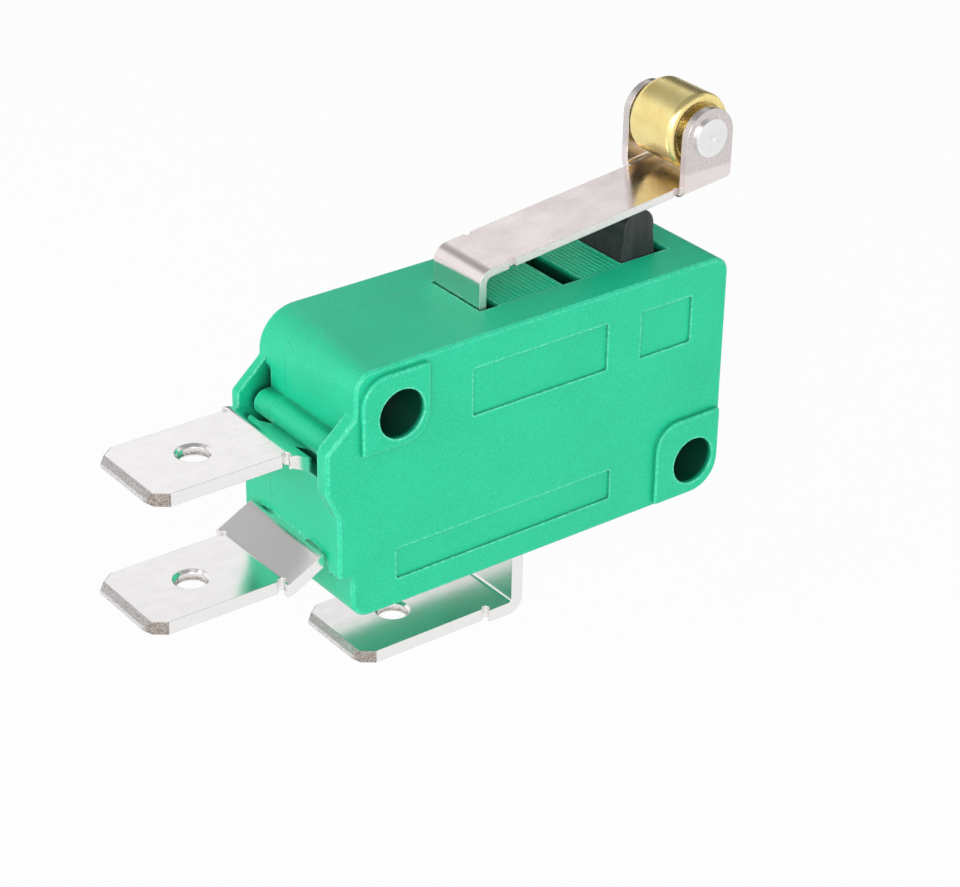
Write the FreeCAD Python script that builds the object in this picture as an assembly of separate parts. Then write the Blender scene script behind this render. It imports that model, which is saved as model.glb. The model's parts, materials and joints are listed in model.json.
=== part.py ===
import FreeCAD, Part
import math
import os

# Lever micro switch with a roller on its lever, in millimetres.
# Frame: the origin is the middle of the upper mounting hole, half way through the case.
# +X runs along the case towards the roller, +Y to the cover side, +Z up to the lever.
# Lengths called "from the end" are measured from the terminal end wall, heights from the case floor.

# Case and mounting holes
HOLE_PITCH_X = 22.2
HOLE_PITCH_Z = 10.3
HOLE_R = 1.55
HOLE_TO_END = 2.95
HOLE_TO_TOP = 3.08
LOWER_HOLE_TO_RIGHT = 2.3
LOWER_HOLE_TO_FLOOR = 2.5
CASE_THICK = 9.95
PARTING_FROM_MID = 2.15
CORNER_TOP_LEFT_FRONT_R = 1.2
CORNER_TOP_LEFT_REAR_R = 2.4
CORNER_TOP_RIGHT_R = 1.15
CORNER_LOW_RIGHT_R = 2.3
CORNER_LOW_LEFT_R = 1.2
CASE_EDGE = 0.14

# Case walls
FRONT_WALL = 1.3
REAR_WALL = 1.2
TOP_WALL = 1.4
FLOOR_WALL = 1.2
END_WALL = 1.0
RIGHT_WALL = 1.3
CAVITY_CORNER_R = 0.8
BOSS_WALL = 0.9

# Raised pads round the holes, on the front only
PAD_PROUD = 0.35
PAD_INSET = 0.25
PAD_UPPER_IN = 0.3
PAD_UPPER_DOWN = 0.4
PAD_UPPER_LENGTH = 4.65
PAD_UPPER_HEIGHT = 4.75
PAD_LOWER_LENGTH = 5.25
PAD_LOWER_HEIGHT = 5.6
PAD_BIG_R = 1.7
PAD_SMALL_R = 0.2
PAD_EDGE = 0.08

# Sunk plain panels on the front face: from the end, length, height of the lower edge, height
PANEL_DEPTH = 0.14
PANEL_CORNER_R = 0.12
PANEL_TOP_FROM_END = 8.2
PANEL_TOP_LENGTH = 9.9
PANEL_TOP_UP = 10.85
PANEL_TOP_HEIGHT = 3.05
PANEL_SQUARE_FROM_END = 20.7
PANEL_SQUARE_LENGTH = 3.9
PANEL_LOW_FROM_END = 2.8
PANEL_LOW_LENGTH = 15.9
PANEL_LOW_UP = 1.8
PANEL_LOW_HEIGHT = 2.0

# Terminal end: two side cheeks, a round nosed rib over the upper blade and a block between the blades
CHEEK_FRONT = 1.0
CHEEK_REAR = 0.8
CHEEK_REACH = 1.95
CHEEK_TOP = 13.2
CHEEK_UPPER = 11.45
CHEEK_LOWER = 8.74
CHEEK_FOOT = 7.1
CHEEK_EDGE_R = 0.35
BLOCK_REACH = 1.2
FOOT_REACH = 0.3
FOOT_TOP = 2.95
RIB_REACH = 1.2
RIB_HIGH = 1.65
RIB_R = 0.8
RIB_GAP = 0.1
BLOCK_GAP = 0.1
RECESS_R = 1.6
RELIEF_WIDE = 0.5
RELIEF_DEEP = 0.7
RELIEF_LOW = 8.9
RELIEF_HIGH = 12.9

# Blade terminals, stamped from one strip
STRIP = 0.8
TAB_WIDE = 6.35
NC_ROOT_WIDE = 7.1
NO_ROOT_WIDE = 7.6
COM_ROOT_WIDE = 7.1
TAB_INNER_WIDE = 3.6
TAB_BEND_R = 0.35
TAB_HOLE_R = 0.9
TAB_HOLE_RIM = 0.18
TAB_HOLE_FROM_TIP = 4.6
TAB_CORNER_X = 1.15
TAB_CORNER_Y = 0.85
TAB_TIP_LONG = 0.42
TAB_TIP_DEEP = 0.27
TAB_NOTCH_R = 0.25
NC_TIP = 12.15
NC_TAB_UP = 10.9
NC_BEND_OUT = 3.15
NC_BEND_IN = 0.3
NC_NOTCH = 3.45
NC_ROOT_END = 2.05
NC_LEVEL = 9.4
NO_TIP = 12.65
NO_TAB_UP = 2.8
NO_BEND_OUT = 3.75
NO_BEND_IN = 1.5
NO_NOTCH = 3.98
NO_ROOT_END = 1.45
NO_LEVEL = 3.95
BLADE_INNER = 5.2
COM_TIP = 1.4
COM_TAB_DOWN = 4.55
COM_FROM_END = 12.85
COM_INNER_WIDE = 5.0
COM_SHOULDER_GAP = 0.08
COM_BEND_R = 0.2
COM_TOP = 9.3
COM_NOTCH_FROM_BEND = 2.1

# Snap mechanism: a contact arm and a trip lever, each on a knife edge in the common post
ARM_KNIFE_UP = 6.6
TRIP_KNIFE_UP = 5.7
NOTCH_DEEP = 0.22
NOTCH_HALF_HIGH = 0.32
KNIFE_HALF_DEG = 28.0
KNIFE_BLUNT = 0.02
KNIFE_PLAY = 0.05
WINDOW_WIDE = 2.5
WINDOW_LOW = 4.7
WINDOW_HIGH = 8.8
ARM_THICK = 0.3
ARM_WIDE = 4.4
ARM_FORK_GAP = 2.5
ARM_LENGTH = 10.65
ARM_TILT = 3.2
ARM_END_R = 1.2
ARM_HOOK_FROM_KNIFE = 7.0
ARM_HOOK_RISE = -0.5
TRIP_THICK = 0.5
TRIP_LENGTH = 11.05
TRIP_TILT = 14.0
TRIP_HOOK_FROM_KNIFE = 4.6
TRIP_HOOK_RISE = 0.6
HOOK_LUG_WIDE = 1.3
HOOK_LUG_TAIL = 0.65
HOOK_HOLE_R = 0.32
SPRING_WIRE = 0.3
SPRING_COIL_R = 0.75
SPRING_TURNS = 13
SPRING_END_LENGTH = 1.7
SPRING_TAIL = 0.62

# Contacts
CONTACT_FROM_END = 3.2
CONTACT_HEAD_R = 1.5
CONTACT_SHANK_R = 0.8
CONTACT_HEAD = 0.6
CONTACT_CROWN = 0.1
CONTACT_AIR = 0.05

# Plunger
PLUNGER_FROM_END = 22.7
PLUNGER_WIDE = 2.6
PLUNGER_DEEP = 4.1
PLUNGER_TOP_R = 1.05
PLUNGER_TAPER = 0.15
PLUNGER_TAPER_UP = 1.4
PLUNGER_EDGE_R = 0.12
PLUNGER_AIR = 0.06
PLUNGER_SHOULDER = 1.3
PLUNGER_SHOULDER_OVER = 0.75
PLUNGER_STEM_WIDE = 2.0
PLUNGER_TIP_R = 0.9
GUIDE_PLAY = 0.1
OPENING_SPARE = 1.0
GUIDE_WALL = 0.6
GUIDE_DOWN = 4.2

# Roller lever, one folded strip; its heights are measured from the top of the case
LEVER_FROM_END = 10.85
LEVER_THICK = 0.5
LEVER_WIDE = 4.48
LEVER_RISE_DEG = 6.1
LEVER_OVER_TOP = 2.32
LEVER_BEND_R = 0.45
LEVER_FOOT_DOWN = 2.48
LEVER_FOOT_HIGH = 0.7
LEVER_FOOT_OVER = 0.5
LEVER_NOTCH_FROM_END = 12.75
LEVER_NOTCH_LONG = 0.45
LEVER_NOTCH_DEEP = 0.22
EAR_R = 1.8
EAR_OUTSIDE = 5.9
EAR_BEND_R = 0.25
EAR_RELIEF = 0.22
EAR_RELIEF_DEEP = 0.14
EAR_CORNER_R = 0.35
PIN_FROM_END = 27.15
PIN_OVER_TOP = 7.02
PIN_R = 0.92
PIN_HEAD_R = 1.2
PIN_HEAD = 0.3
PIN_HEAD_CROWN = 0.1
PIN_DIMPLE_R = 0.22
PIN_DIMPLE = 0.12
PIN_FIT = 0.02
ROLLER_R = 2.4
ROLLER_LONG = 3.9
ROLLER_FRONT_PLAY = 0.45
ROLLER_BORE_PLAY = 0.06
ROLLER_CHAMFER = 0.42
ROLLER_SPOT_R = 1.75
ROLLER_SPOT = 0.12

# Lever sockets in the top wall, two of them, so that the lever can stand in either
SOCKET_NEAR_FROM_END = 11.22
SOCKET_FAR_FROM_END = 17.35
SOCKET_LONG = 1.45
SOCKET_PLAY = 0.2
SOCKET_BLOCK_SIDE = 1.0
SOCKET_POCKET_EXTRA = 0.3
SOCKET_POCKET_HIGH = 1.4
SOCKET_FLOOR = 0.6

# Fine ridges across the top between the sockets and the plunger
RIDGE_PITCH = 0.35
RIDGE_DEEP = 0.07
RIDGE_SUNK = 0.03
RIDGE_MARGIN = 0.12
RIDGE_HALF_WIDE = 2.35
RIDGE_FROM_PARTING = 0.05

# Locating pins of the two case halves: one under the top wall, two over the floor
DOWEL_TOP_FROM_END = 6.9
DOWEL_TOP_UP = 14.3
DOWEL_LEFT_FROM_END = 8.2
DOWEL_RIGHT_FROM_END = 20.4
DOWEL_LOW_UP = 1.9
DOWEL_R = 0.5
DOWEL_POST_R = 1.0
DOWEL_LONG = 1.2
DOWEL_PLAY = 0.05

# Planes and levels that follow from the sizes
END = -HOLE_TO_END
RIGHT = HOLE_PITCH_X + LOWER_HOLE_TO_RIGHT
TOP = HOLE_TO_TOP
FLOOR = -HOLE_PITCH_Z - LOWER_HOLE_TO_FLOOR
FRONT = -CASE_THICK / 2
REAR = CASE_THICK / 2
INNER_FRONT = FRONT + FRONT_WALL
INNER_REAR = REAR - REAR_WALL
CEILING = TOP - TOP_WALL
PARTING = PARTING_FROM_MID
BOSS_R = HOLE_R + BOSS_WALL
HOLES = ((0.0, 0.0), (HOLE_PITCH_X, -HOLE_PITCH_Z))
SOCKETS = (END + SOCKET_NEAR_FROM_END, END + SOCKET_FAR_FROM_END)
DOWEL_LOW = FLOOR + DOWEL_LOW_UP
DOWELS = (
    (END + DOWEL_TOP_FROM_END, FLOOR + DOWEL_TOP_UP),
    (END + DOWEL_LEFT_FROM_END, DOWEL_LOW),
    (END + DOWEL_RIGHT_FROM_END, DOWEL_LOW),
)
FAR = 60.0
LEVER_RISE = math.radians(LEVER_RISE_DEG)
LEVER_X = END + LEVER_FROM_END
PIN_X = END + PIN_FROM_END
PIN_Z = TOP + PIN_OVER_TOP
EAR_LEFT = PIN_X - EAR_R
EAR_RIGHT = PIN_X + EAR_R
COM_X = END + COM_FROM_END
ARM_KNIFE_X = COM_X - STRIP / 2 + NOTCH_DEEP - KNIFE_PLAY
ARM_KNIFE_Z = FLOOR + ARM_KNIFE_UP
TRIP_KNIFE_X = COM_X + STRIP / 2 - NOTCH_DEEP + KNIFE_PLAY
TRIP_KNIFE_Z = FLOOR + TRIP_KNIFE_UP
CONTACT_X = END + CONTACT_FROM_END
PLUNGER_X = END + PLUNGER_FROM_END


def vec(x, y, z):
    return FreeCAD.Vector(x, y, z)


# Drawing helpers

def rounded_wire(corners, place):
    """Closed wire through corners (u, v, radius); a corner with a radius becomes a tangent arc."""
    edges = []
    ends = []
    count = len(corners)
    for i in range(count):
        u, v, radius = corners[i]
        u0, v0 = corners[i - 1][:2]
        u1, v1 = corners[(i + 1) % count][:2]
        back = math.hypot(u0 - u, v0 - v)
        ahead = math.hypot(u1 - u, v1 - v)
        a = ((u0 - u) / back, (v0 - v) / back)
        b = ((u1 - u) / ahead, (v1 - v) / ahead)
        half = math.acos(max(-1.0, min(1.0, a[0] * b[0] + a[1] * b[1]))) / 2
        if radius <= 0:
            ends.append((place(u, v), place(u, v)))
            continue
        reach = radius / math.tan(half)
        start = place(u + a[0] * reach, v + a[1] * reach)
        finish = place(u + b[0] * reach, v + b[1] * reach)
        mid_length = radius / math.sin(half) - radius
        mid_size = math.hypot(a[0] + b[0], a[1] + b[1])
        middle = place(u + (a[0] + b[0]) / mid_size * mid_length, v + (a[1] + b[1]) / mid_size * mid_length)
        edges.append((i, Part.Arc(start, middle, finish).toShape()))
        ends.append((start, finish))
    arcs = dict(edges)
    ordered = []
    for i in range(count):
        if i in arcs:
            ordered.append(arcs[i])
        a = ends[i][1]
        b = ends[(i + 1) % count][0]
        if a.distanceToPoint(b) > 1e-6:
            ordered.append(Part.LineSegment(a, b).toShape())
    return Part.Wire(ordered)


def prism_y(corners, y0, y1):
    """Outline of (x, z, radius) corners carried from y0 to y1."""
    wire = rounded_wire(corners, lambda u, v: vec(u, y0, v))
    return Part.Face(wire).extrude(vec(0, y1 - y0, 0))


def prism_x(corners, x0, x1):
    """Outline of (y, z, radius) corners carried from x0 to x1."""
    wire = rounded_wire(corners, lambda u, v: vec(x0, u, v))
    return Part.Face(wire).extrude(vec(x1 - x0, 0, 0))


def prism_z(corners, z0, z1):
    """Outline of (x, y, radius) corners carried from z0 to z1."""
    wire = rounded_wire(corners, lambda u, v: vec(u, v, z0))
    return Part.Face(wire).extrude(vec(0, 0, z1 - z0))


def block(x0, x1, y0, y1, z0, z1):
    return Part.makeBox(x1 - x0, y1 - y0, z1 - z0, vec(x0, y0, z0))


def rod_y(x, z, radius, y0, y1):
    return Part.makeCylinder(radius, y1 - y0, vec(x, y0, z), vec(0, 1, 0))


def rod_z(x, y, radius, z0, z1):
    return Part.makeCylinder(radius, z1 - z0, vec(x, y, z0), vec(0, 0, 1))


def joined(shapes):
    first = shapes[0]
    return first.fuse(shapes[1:]).removeSplitter()


def edges_at_y(shape, y):
    """Edges that lie wholly in the plane of that y."""
    tolerance = 1e-4
    return [e for e in shape.Edges if abs(e.BoundBox.YMin - y) < tolerance and abs(e.BoundBox.YMax - y) < tolerance]


def strip_corners(points, thick, inner_r):
    """Side outline of a bent strip whose middle line runs through points (x, z)."""
    left = []
    right = []
    last = len(points) - 1
    for i, (x, z) in enumerate(points):
        before = points[max(i - 1, 0)]
        after = points[min(i + 1, last)]
        d0 = math.atan2(z - before[1], x - before[0]) if i > 0 else None
        d1 = math.atan2(after[1] - z, after[0] - x) if i < last else None
        d0 = d1 if d0 is None else d0
        d1 = d0 if d1 is None else d1
        turn = math.atan2(math.sin(d1 - d0), math.cos(d1 - d0))
        middle = d0 + turn / 2
        reach = thick / 2 / math.cos(turn / 2)
        nx = -math.sin(middle) * reach
        nz = math.cos(middle) * reach
        bent = 0 < i < last
        outer_r = inner_r + thick
        left.append((x + nx, z + nz, (inner_r if turn > 0 else outer_r) if bent else 0))
        right.append((x - nx, z - nz, (outer_r if turn > 0 else inner_r) if bent else 0))
    return left + right[::-1]


# Case

def cheek_outline():
    """Front view of the case with the side cheeks that flank the terminals."""
    return [
        (END, TOP, 0),
        (RIGHT, TOP, CORNER_TOP_RIGHT_R),
        (RIGHT, FLOOR, CORNER_LOW_RIGHT_R),
        (END - FOOT_REACH, FLOOR, CORNER_LOW_LEFT_R),
        (END - FOOT_REACH, FLOOR + FOOT_TOP, CHEEK_EDGE_R),
        (END - BLOCK_REACH, FLOOR + FOOT_TOP, CHEEK_EDGE_R),
        (END - BLOCK_REACH, FLOOR + CHEEK_FOOT, CHEEK_EDGE_R),
        (END - CHEEK_REACH, FLOOR + CHEEK_LOWER, CHEEK_EDGE_R),
        (END - CHEEK_REACH, FLOOR + CHEEK_UPPER, CHEEK_EDGE_R),
        (END, FLOOR + CHEEK_TOP, CHEEK_EDGE_R),
    ]


def middle_outline():
    """The case between the cheeks: end wall, block between the blades and foot."""
    block_top = FLOOR + NC_LEVEL - STRIP / 2 - BLOCK_GAP
    return [
        (END, TOP, 0),
        (RIGHT, TOP, CORNER_TOP_RIGHT_R),
        (RIGHT, FLOOR, CORNER_LOW_RIGHT_R),
        (END - FOOT_REACH, FLOOR, CORNER_LOW_LEFT_R),
        (END - FOOT_REACH, FLOOR + FOOT_TOP, 0),
        (END - BLOCK_REACH, FLOOR + FOOT_TOP, 0),
        (END - BLOCK_REACH, block_top, 0),
        (END, block_top, 0),
    ]


def foot_recess():
    """Room round the middle blade below the block, with rounded corners where the block meets the cheeks."""
    front = FRONT + CHEEK_FRONT
    rear = REAR - CHEEK_REAR
    roof = FLOOR + NO_LEVEL + STRIP / 2
    low = FLOOR + FOOT_TOP - 1
    corners = [(front, roof, RECESS_R), (rear, roof, RECESS_R), (rear, low, 0), (front, low, 0)]
    return prism_x(corners, END - CHEEK_REACH - 1, END - FOOT_REACH)


def case_outside():
    """Case with its cheeks, rib and block; its top corner at the terminal end rounds more towards the rear."""
    front = prism_y(cheek_outline(), FRONT, FRONT + CHEEK_FRONT)
    rear = prism_y(cheek_outline(), REAR - CHEEK_REAR, REAR)
    middle = prism_y(middle_outline(), FRONT + CHEEK_FRONT, REAR - CHEEK_REAR)
    whole = joined([front, middle, rear])
    corner = [e for e in whole.Edges if e.BoundBox.XMax < END + 0.01 and e.BoundBox.ZMin > TOP - 0.01]
    radii = (CORNER_TOP_LEFT_FRONT_R, CORNER_TOP_LEFT_REAR_R)
    if corner[0].Vertexes[0].Point.y > corner[0].Vertexes[1].Point.y:
        radii = radii[::-1]
    whole = whole.makeFillet(radii[0], radii[1], corner)
    rib_low = FLOOR + NC_LEVEL + STRIP / 2 + RIB_GAP
    rib_corners = [
        (END + END_WALL / 2, rib_low, 0),
        (END - RIB_REACH, rib_low, RIB_R),
        (END - RIB_REACH, rib_low + RIB_HIGH, RIB_R),
        (END + END_WALL / 2, rib_low + RIB_HIGH, 0),
    ]
    rib = prism_y(rib_corners, FRONT + CHEEK_FRONT, REAR - CHEEK_REAR)
    whole = joined([whole, rib]).cut(foot_recess())
    return whole.makeChamfer(CASE_EDGE, edges_at_y(whole, FRONT) + edges_at_y(whole, REAR))


def upper_pad(y0, y1):
    left = END + PAD_UPPER_IN
    top = TOP - PAD_UPPER_DOWN
    right = left + PAD_UPPER_LENGTH
    low = top - PAD_UPPER_HEIGHT
    corners = [
        (left, top, PAD_BIG_R),
        (right, top, PAD_SMALL_R),
        (right, low, PAD_BIG_R),
        (left, low, PAD_SMALL_R),
    ]
    return prism_y(corners, y0, y1)


def lower_pad(y0, y1):
    left = RIGHT - PAD_LOWER_LENGTH
    top = FLOOR + PAD_LOWER_HEIGHT
    right = RIGHT - PAD_INSET
    low = FLOOR + PAD_INSET
    corners = [
        (left, top, PAD_BIG_R),
        (right, top, PAD_SMALL_R),
        (right, low, CORNER_LOW_RIGHT_R - PAD_INSET),
        (left, low, PAD_SMALL_R),
    ]
    return prism_y(corners, y0, y1)


def pads():
    """Pads round both holes, their front edges slightly broken."""
    shapes = []
    for pad in (upper_pad, lower_pad):
        shape = pad(FRONT - PAD_PROUD, FRONT + PAD_PROUD)
        shapes.append(shape.makeChamfer(PAD_EDGE, edges_at_y(shape, FRONT - PAD_PROUD)))
    return shapes


def panel(from_end, length, up, height):
    left = END + from_end
    low = FLOOR + up
    corners = [
        (left, low + height, PANEL_CORNER_R),
        (left + length, low + height, PANEL_CORNER_R),
        (left + length, low, PANEL_CORNER_R),
        (left, low, PANEL_CORNER_R),
    ]
    return prism_y(corners, FRONT - 1, FRONT + PANEL_DEPTH)


def panels():
    return [
        panel(PANEL_TOP_FROM_END, PANEL_TOP_LENGTH, PANEL_TOP_UP, PANEL_TOP_HEIGHT),
        panel(PANEL_SQUARE_FROM_END, PANEL_SQUARE_LENGTH, PANEL_TOP_UP, PANEL_TOP_HEIGHT),
        panel(PANEL_LOW_FROM_END, PANEL_LOW_LENGTH, PANEL_LOW_UP, PANEL_LOW_HEIGHT),
    ]


def socket_block(x):
    """Thick part under the top wall that holds one lever socket."""
    half = SOCKET_LONG / 2 + SOCKET_BLOCK_SIDE
    low = CEILING - SOCKET_POCKET_HIGH - SOCKET_FLOOR
    return block(x - half, x + half, INNER_FRONT, INNER_REAR, low, CEILING)


def socket_cut(x):
    """Slot through the top wall, with a wider pocket below it for the lever's foot."""
    half = SOCKET_LONG / 2
    slot_y = LEVER_WIDE / 2 + SOCKET_PLAY
    pocket_y = LEVER_WIDE / 2 + LEVER_FOOT_OVER + SOCKET_PLAY
    slot = block(x - half, x + half, -slot_y, slot_y, CEILING - SOCKET_PLAY, TOP + 1)
    wide = half + SOCKET_POCKET_EXTRA
    pocket = block(x - wide, x + wide, -pocket_y, pocket_y, CEILING - SOCKET_POCKET_HIGH, CEILING)
    return slot.fuse(pocket)


def plunger_opening():
    """Through opening of the top wall; it is longer than the plunger on the roller side."""
    left = PLUNGER_X - PLUNGER_WIDE / 2 - GUIDE_PLAY
    right = PLUNGER_X + PLUNGER_WIDE / 2 + OPENING_SPARE
    side = PLUNGER_DEEP / 2 + GUIDE_PLAY
    return block(left, right, -side, side, CEILING - 1, TOP + 1)


def ridge_cut(x0, x1):
    """Shallow field of grooves across the top from x0 to x1, its ridges a little below the top."""
    count = max(1, round((x1 - x0) / RIDGE_PITCH))
    pitch = (x1 - x0) / count
    peak = TOP - RIDGE_SUNK
    corners = [(x0, TOP + 1, 0), (x0, peak, 0)]
    for i in range(count):
        corners.append((x0 + (i + 0.5) * pitch, peak - RIDGE_DEEP, 0))
        corners.append((x0 + (i + 1) * pitch, peak, 0))
    corners.append((x1, TOP + 1, 0))
    return prism_y(corners, -RIDGE_HALF_WIDE, min(RIDGE_HALF_WIDE, PARTING - RIDGE_FROM_PARTING))


def ridge_fields():
    """Ridges between the two sockets, and from the second socket to the plunger opening."""
    half = SOCKET_LONG / 2 + RIDGE_MARGIN
    opening = PLUNGER_X - PLUNGER_WIDE / 2 - GUIDE_PLAY - RIDGE_MARGIN
    return [ridge_cut(SOCKETS[0] + half, SOCKETS[1] - half), ridge_cut(SOCKETS[1] + half, opening)]


def guide_wall():
    """Wall that the plunger's shoulder slides along."""
    right = PLUNGER_X - PLUNGER_WIDE / 2 - PLUNGER_SHOULDER_OVER - GUIDE_PLAY
    return block(right - GUIDE_WALL, right, INNER_FRONT, INNER_REAR, CEILING - GUIDE_DOWN, CEILING)


def common_ribs():
    """Two pairs of ribs that hold the common post upright."""
    ribs = []
    high = FLOOR + WINDOW_LOW - 0.5
    for side in (-1, 1):
        x = COM_X + side * STRIP / 2
        x0 = min(x, x + side * 0.8)
        ribs.append(block(x0, x0 + 0.8, INNER_FRONT, -COM_INNER_WIDE / 2 + 0.6, FLOOR + FLOOR_WALL, high))
        ribs.append(block(x0, x0 + 0.8, COM_INNER_WIDE / 2 - 0.6, INNER_REAR, FLOOR + FLOOR_WALL, high))
    return ribs


def cavity():
    left = END + END_WALL
    right = RIGHT - RIGHT_WALL
    low = FLOOR + FLOOR_WALL
    corners = [
        (left, CEILING, CAVITY_CORNER_R),
        (right, CEILING, CAVITY_CORNER_R),
        (right, low, CAVITY_CORNER_R),
        (left, low, CAVITY_CORNER_R),
    ]
    room = prism_y(corners, INNER_FRONT, INNER_REAR)
    kept = [rod_y(x, z, BOSS_R, FRONT, REAR) for x, z in HOLES]
    kept += [socket_block(x) for x in SOCKETS]
    kept += [guide_wall()]
    kept += common_ribs()
    kept += [rod_y(x, z, DOWEL_POST_R, FRONT, REAR) for x, z in DOWELS]
    return room.cut(kept)


def common_slot():
    half = STRIP / 2
    side = COM_INNER_WIDE / 2
    return block(COM_X - half, COM_X + half, -side, side, FLOOR - 1, FLOOR + FLOOR_WALL + 0.1)


def cheek_relief():
    """Deep narrow groove between the end wall and the rear cheek."""
    rear = REAR - CHEEK_REAR
    corners = [
        (END - CHEEK_REACH - 1, FLOOR + RELIEF_LOW, 0),
        (END + RELIEF_DEEP, FLOOR + RELIEF_LOW, 0),
        (END + RELIEF_DEEP, FLOOR + CHEEK_UPPER, 0),
        (END, FLOOR + RELIEF_HIGH, 0),
        (END - CHEEK_REACH - 1, FLOOR + RELIEF_HIGH, 0),
    ]
    return prism_y(corners, rear - RELIEF_WIDE, rear)


def dowels(radius, length):
    return [rod_y(x, z, radius, PARTING - 0.1, PARTING + length) for x, z in DOWELS]


def case_halves():
    """Front body and rear cover, parted behind the middle plane."""
    whole = joined([case_outside()] + pads())
    cuts = [cavity(), plunger_opening(), common_slot(), cheek_relief()]
    cuts += panels()
    cuts += [socket_cut(x) for x in SOCKETS]
    cuts += ridge_fields()
    cuts += [nc_strip(TAB_INNER_WIDE), no_strip(TAB_INNER_WIDE)]
    cuts += [rod_y(x, z, HOLE_R, FRONT - 1, REAR + 1) for x, z in HOLES]
    whole = whole.cut(cuts)
    front_half = block(-FAR, FAR, -FAR, PARTING, -FAR, FAR)
    rear_half = block(-FAR, FAR, PARTING, FAR, -FAR, FAR)
    body = whole.common(front_half)
    cover = whole.common(rear_half)
    body = joined([body] + dowels(DOWEL_R, DOWEL_LONG))
    cover = cover.cut(dowels(DOWEL_R + DOWEL_PLAY, DOWEL_LONG + 0.1))
    return body, cover


# Terminals

def tab_trim(tip_x, z, notch_x):
    """What is cut from a strip at z to make its tab: corners, bevels, hole and side notches."""
    half = TAB_WIDE / 2
    cuts = []
    for side in (-1, 1):
        corner = [
            (tip_x - 1, side * (half + 1), 0),
            (tip_x + TAB_CORNER_X, side * (half + 1), 0),
            (tip_x + TAB_CORNER_X, side * half, 0),
            (tip_x, side * (half - TAB_CORNER_Y), 0),
            (tip_x - 1, side * (half - TAB_CORNER_Y), 0),
        ]
        cuts.append(prism_z(corner, z - 2, z + 2))
        bevel = [
            (tip_x - 1, z + side * (STRIP / 2 + 1), 0),
            (tip_x + TAB_TIP_LONG, z + side * (STRIP / 2 + 1), 0),
            (tip_x + TAB_TIP_LONG, z + side * STRIP / 2, 0),
            (tip_x, z + side * (STRIP / 2 - TAB_TIP_DEEP), 0),
            (tip_x - 1, z + side * (STRIP / 2 - TAB_TIP_DEEP), 0),
        ]
        cuts.append(prism_y(bevel, -TAB_WIDE, TAB_WIDE))
        cuts.append(rod_z(notch_x, side * half, TAB_NOTCH_R, z - 2, z + 2))
        rim_z = z + side * STRIP / 2
        flare = TAB_HOLE_R + TAB_HOLE_RIM
        cone = Part.makeCone(TAB_HOLE_R, flare, TAB_HOLE_RIM, vec(0, 0, -TAB_HOLE_RIM), vec(0, 0, 1))
        if side < 0:
            cone.rotate(vec(0, 0, 0), vec(1, 0, 0), 180)
        cone.translate(vec(tip_x + TAB_HOLE_FROM_TIP, 0, rim_z))
        cuts.append(cone)
    cuts.append(rod_z(tip_x + TAB_HOLE_FROM_TIP, 0, TAB_HOLE_R, z - 2, z + 2))
    cuts += narrowed(TAB_WIDE, tip_x - 1, notch_x, z - 2, z + 2)
    return cuts


def narrowed(wide, x0, x1, z0, z1):
    """Side material cut from a strip to leave it that wide."""
    cuts = []
    for side in (-1, 1):
        y0, y1 = sorted((side * wide / 2, side * FAR))
        cuts.append(block(x0, x1, y0, y1, z0, z1))
    return cuts


def set_strip(tip, tab_up, bend_out, bend_in, level, wide):
    """Strip from the tip, set by a double bend from tab height to its level in the case."""
    tab_z = FLOOR + tab_up
    z = FLOOR + level
    points = [(END - tip, tab_z), (END - bend_out, tab_z), (END - bend_in, z), (END + BLADE_INNER, z)]
    return prism_y(strip_corners(points, STRIP, TAB_BEND_R), -wide / 2, wide / 2)


def nc_strip(wide):
    return set_strip(NC_TIP, NC_TAB_UP, NC_BEND_OUT, NC_BEND_IN, NC_LEVEL, wide)


def no_strip(wide):
    return set_strip(NO_TIP, NO_TAB_UP, NO_BEND_OUT, NO_BEND_IN, NO_LEVEL, wide)


def end_terminal(strip, tip, tab_up, notch, root_end, level):
    """Blade terminal of the end wall: tab, wider root with a shoulder before the wall, narrow inner end."""
    z = FLOOR + level
    cuts = tab_trim(END - tip, FLOOR + tab_up, END - notch)
    cuts += narrowed(TAB_INNER_WIDE, END - root_end, END + BLADE_INNER + 1, z - 2, z + 2)
    cuts.append(rod_z(CONTACT_X, 0, CONTACT_SHANK_R, z - 1, z + 1))
    return strip.cut(cuts)


def com_terminal():
    """Common terminal: tab under the case, bent up through the floor into the post that carries the knife edges."""
    tab_z = FLOOR - COM_TAB_DOWN
    half = COM_ROOT_WIDE / 2
    points = [(END + COM_TIP, tab_z), (COM_X, tab_z), (COM_X, FLOOR + COM_TOP)]
    strip = prism_y(strip_corners(points, STRIP, COM_BEND_R), -half, half)
    cuts = tab_trim(END + COM_TIP, tab_z, COM_X - COM_NOTCH_FROM_BEND)
    shoulder = FLOOR - COM_SHOULDER_GAP
    cuts += narrowed(COM_INNER_WIDE, COM_X - 1, COM_X + 1, shoulder, FLOOR + COM_TOP + 1)
    window = WINDOW_WIDE / 2
    cuts.append(block(COM_X - 1, COM_X + 1, -window, window, FLOOR + WINDOW_LOW, FLOOR + WINDOW_HIGH))
    for side, knife_z in ((-1, ARM_KNIFE_Z), (1, TRIP_KNIFE_Z)):
        face = COM_X + side * STRIP / 2
        notch = [
            (face + side * 0.1, knife_z + NOTCH_HALF_HIGH, 0),
            (face, knife_z + NOTCH_HALF_HIGH, 0),
            (face - side * NOTCH_DEEP, knife_z, 0),
            (face, knife_z - NOTCH_HALF_HIGH, 0),
            (face + side * 0.1, knife_z - NOTCH_HALF_HIGH, 0),
        ]
        cuts.append(prism_y(notch, -half, half))
    return strip.cut(cuts)


# Contacts

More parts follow.
